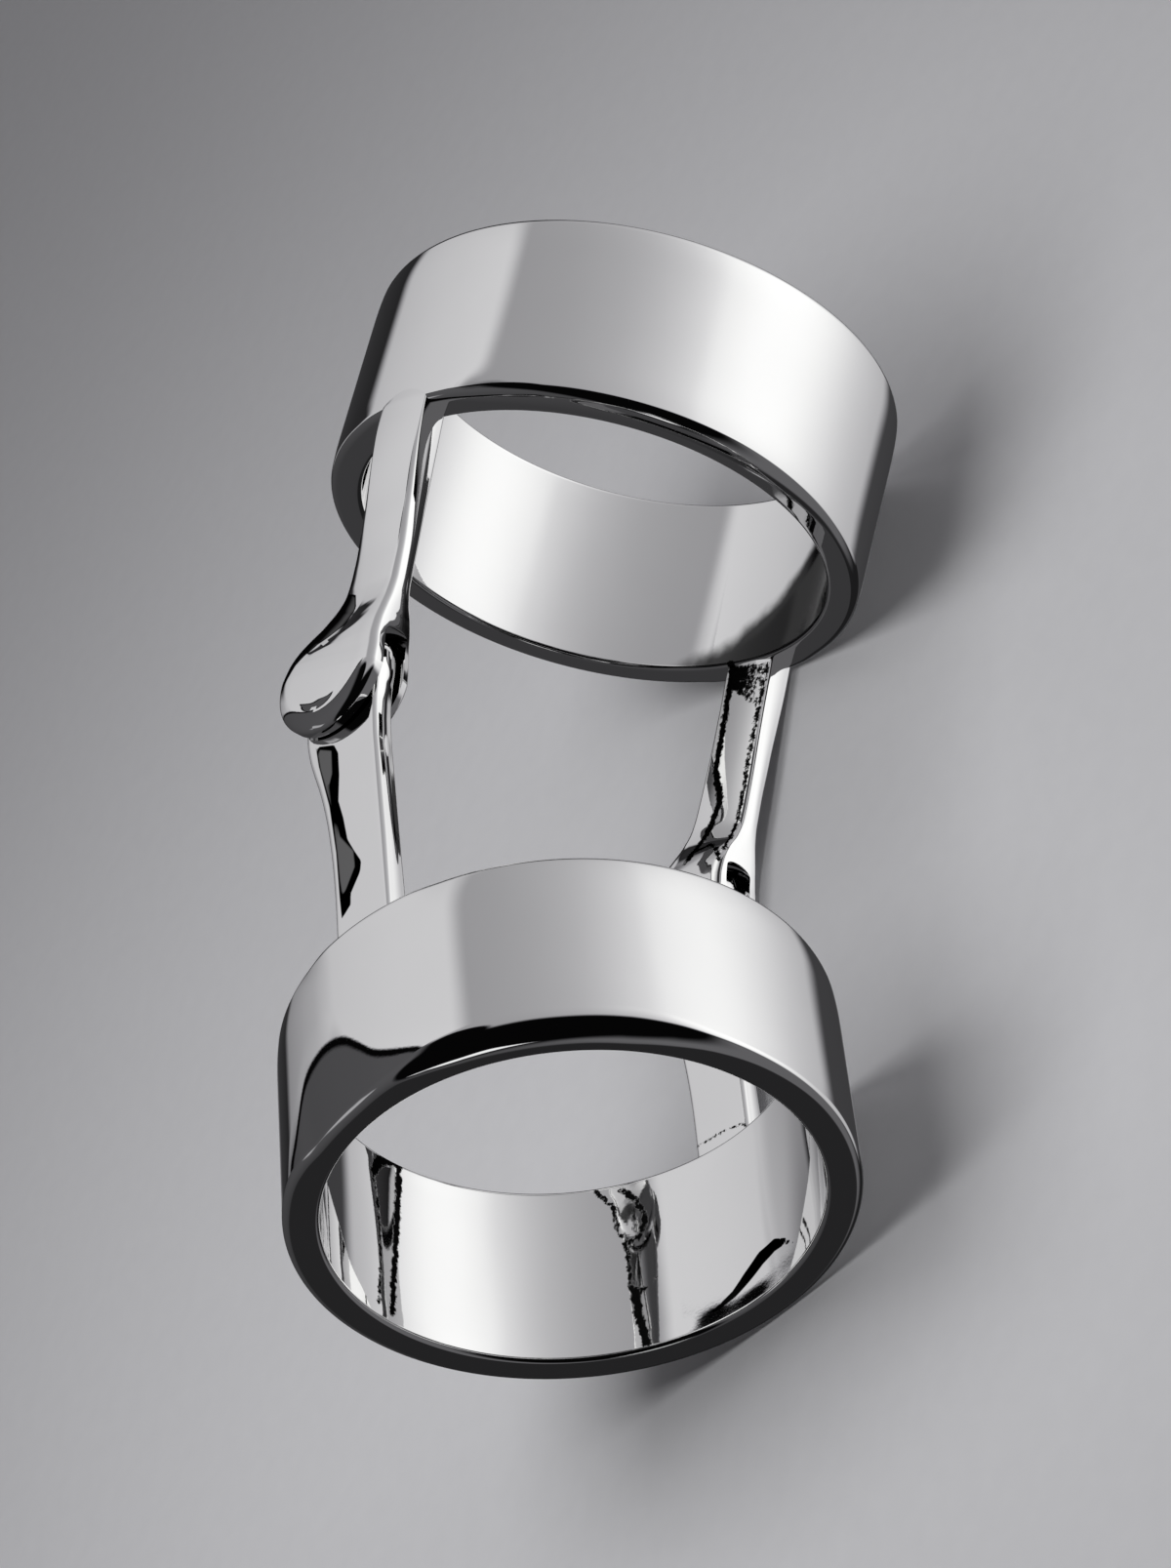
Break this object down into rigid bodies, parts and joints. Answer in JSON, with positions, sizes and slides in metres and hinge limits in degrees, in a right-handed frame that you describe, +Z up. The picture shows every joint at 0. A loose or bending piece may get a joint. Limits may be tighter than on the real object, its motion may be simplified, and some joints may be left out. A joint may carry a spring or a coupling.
{
  "type": "knuckle ring",
  "caption": "Hinged silver knuckle ring: wide plain bands for the two sides of a finger joint, linked by a fork hinge on each side so that the finger can bend.",
  "frame": {"origin": "the point on the surface below the middle of the ring's outline, as it lies on its right side", "axes": "+Z up from the surface that the ring lies on; +X from the lower band to the upper band, along the finger; +Y to the back of the ring, away from the side that its bands bend to"},
  "size_m": [0.0444, 0.0234, 0.0228],
  "materials": {
    "polished_silver": "mirror polished",
    "pin_silver": "drawn wire"
  },
  "bodies": {
    "lower": {"lower_band": "polished_silver"},
    "upper": {"upper_band": "polished_silver", "right_hinge_pin": "pin_silver", "left_hinge_pin": "pin_silver"}
  },
  "joints": [
    {"name": "knuckle_hinge", "type": "hinge", "parent": "lower", "child": "upper", "pos_m": [-0.00003, 0.0033, 0.01138], "axis": [0.016, 0.1415, -0.9898], "range_deg": [-95, 65]}
  ]
}
